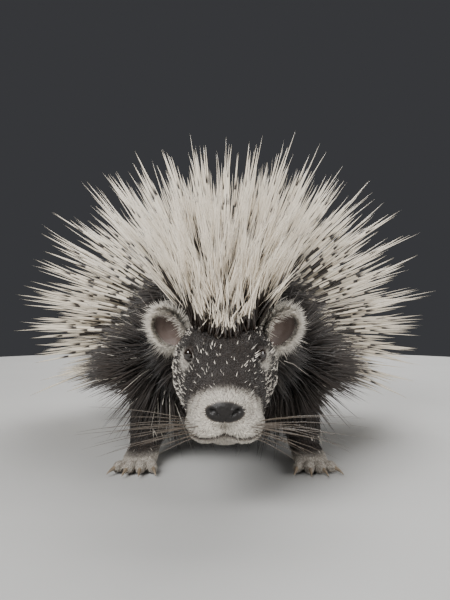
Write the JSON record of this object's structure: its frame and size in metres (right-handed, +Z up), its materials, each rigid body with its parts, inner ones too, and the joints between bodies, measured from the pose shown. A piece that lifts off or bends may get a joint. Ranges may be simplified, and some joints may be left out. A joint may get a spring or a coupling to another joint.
{
  "type": "crested porcupine",
  "caption": "Life-size crested porcupine standing low on four feet, head down, with its crest and quills raised in a fan.",
  "frame": {"origin": "on the floor, under the middle of the animal's box", "axes": "+Z up, the animal looks along -Y and its left side is +X"},
  "size_m": [0.8034, 0.9336, 0.5553],
  "materials": {
    "bristles": "short coarse brown-black bristles over dark skin",
    "quills": "smooth horn quills banded cream and black-brown",
    "ear_skin": "thin dark skin with fine hair",
    "eye": "wet black-brown eye"
  },
  "bodies": {
    "root": {"torso": "quills", "neck": "bristles", "head": "bristles", "tail": "quills", "ear_left": "ear_skin", "eye_left": "eye", "foreleg_left": "bristles", "hindleg_left": "bristles", "ear_right": "ear_skin", "eye_right": "eye", "foreleg_right": "bristles", "hindleg_right": "bristles"}
  },
  "joints": []
}
